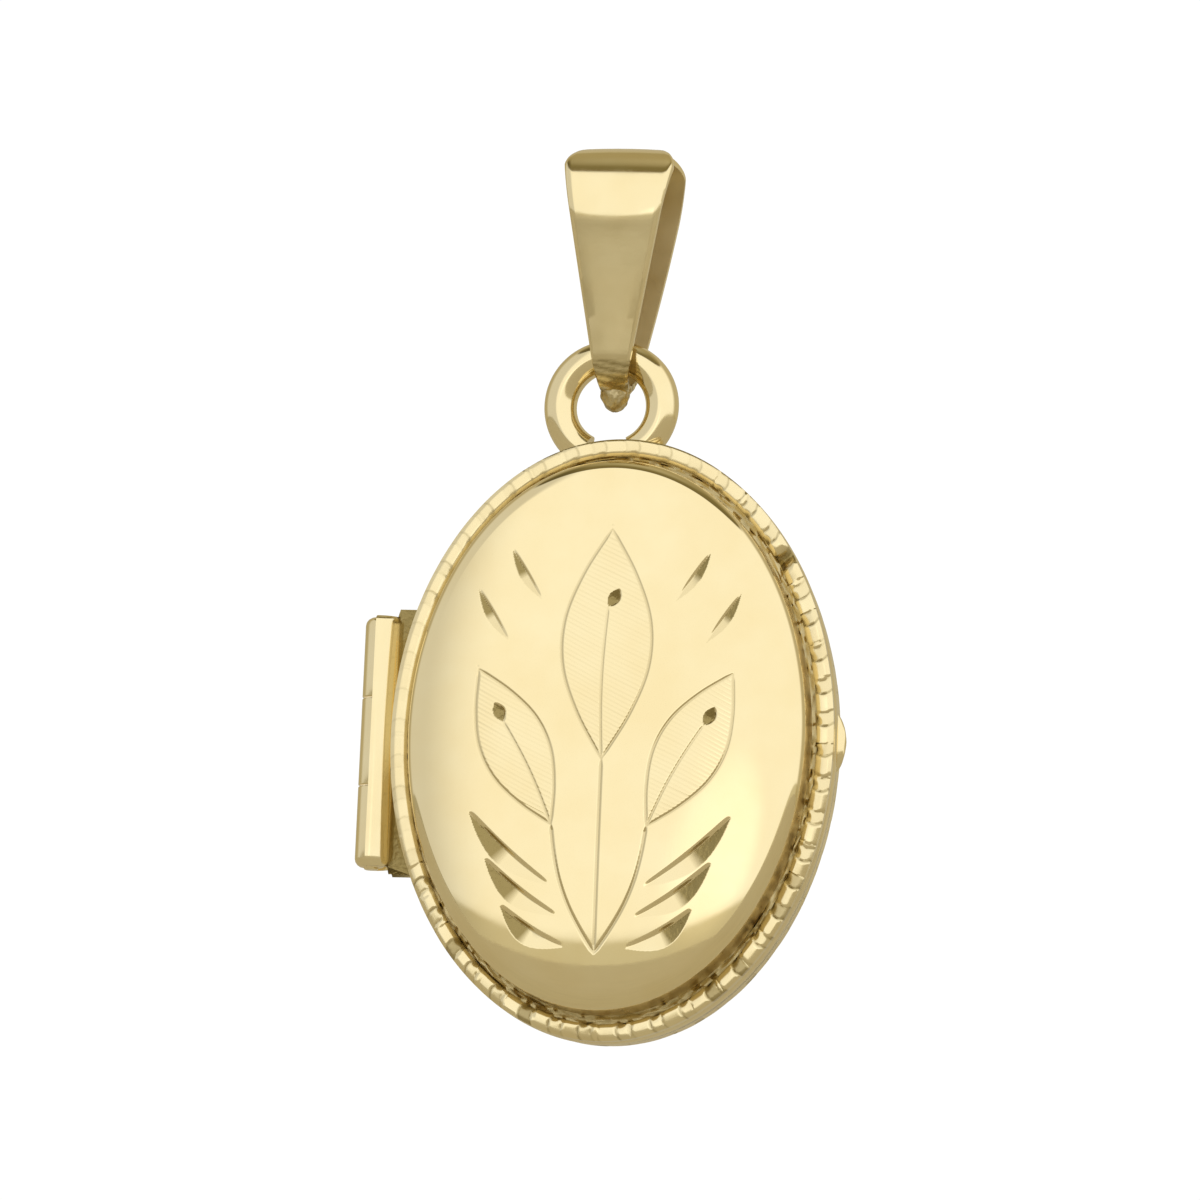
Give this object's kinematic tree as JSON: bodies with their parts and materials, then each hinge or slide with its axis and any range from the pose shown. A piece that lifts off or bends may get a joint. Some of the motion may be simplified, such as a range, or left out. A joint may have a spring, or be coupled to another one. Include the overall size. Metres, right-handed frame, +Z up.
{
  "type": "locket",
  "caption": "Oval gold locket: two domed half shells on an edge hinge open to hold small pictures; it hangs by a ring from a tapered bail.",
  "frame": {"origin": "centre of the bail's upper bend, where a chain passes", "axes": "+Z up as it hangs, -Y towards the viewer of the engraved face, +X to the right seen from the front, along the chain"},
  "size_m": [0.0145, 0.0044, 0.027],
  "materials": {
    "polished_gold": "polished yellow gold",
    "chased_gold": "bright-cut yellow gold wire",
    "gold_solder": "rough gold solder",
    "fitting_gold": "satin yellow gold",
    "clear_window": "thin clear plastic"
  },
  "bodies": {
    "bail": {"bail_strap": "polished_gold", "bail_solder": "gold_solder"},
    "rear_half": {"rear_dome": "polished_gold", "rear_rim": "polished_gold", "rear_border": "chased_gold", "rear_hinge_bearer": "polished_gold", "rear_knuckle_upper": "polished_gold", "rear_knuckle_lower": "polished_gold", "hinge_pin": "fitting_gold", "rear_photo_frame": "fitting_gold", "rear_window": "clear_window", "snap_bezel": "fitting_gold", "snap_nib": "fitting_gold", "thumb_lip": "polished_gold", "hanging_ring": "polished_gold"},
    "front_half": {"front_dome": "polished_gold", "front_rim": "polished_gold", "front_border": "chased_gold", "front_hinge_bearer": "polished_gold", "front_knuckle": "polished_gold", "front_photo_frame": "fitting_gold", "front_window": "clear_window"}
  },
  "joints": [
    {"name": "bail_swing", "type": "hinge", "parent": "bail", "child": "rear_half", "pos_m": [0, 0, -0.00473], "axis": [1, 0, 0], "range_deg": [-118, 130]},
    {"name": "cover_hinge", "type": "hinge", "parent": "rear_half", "child": "front_half", "pos_m": [-0.00661, -0.00052, -0.01658], "axis": [0, 0, -1], "range_deg": [0, 165]}
  ]
}
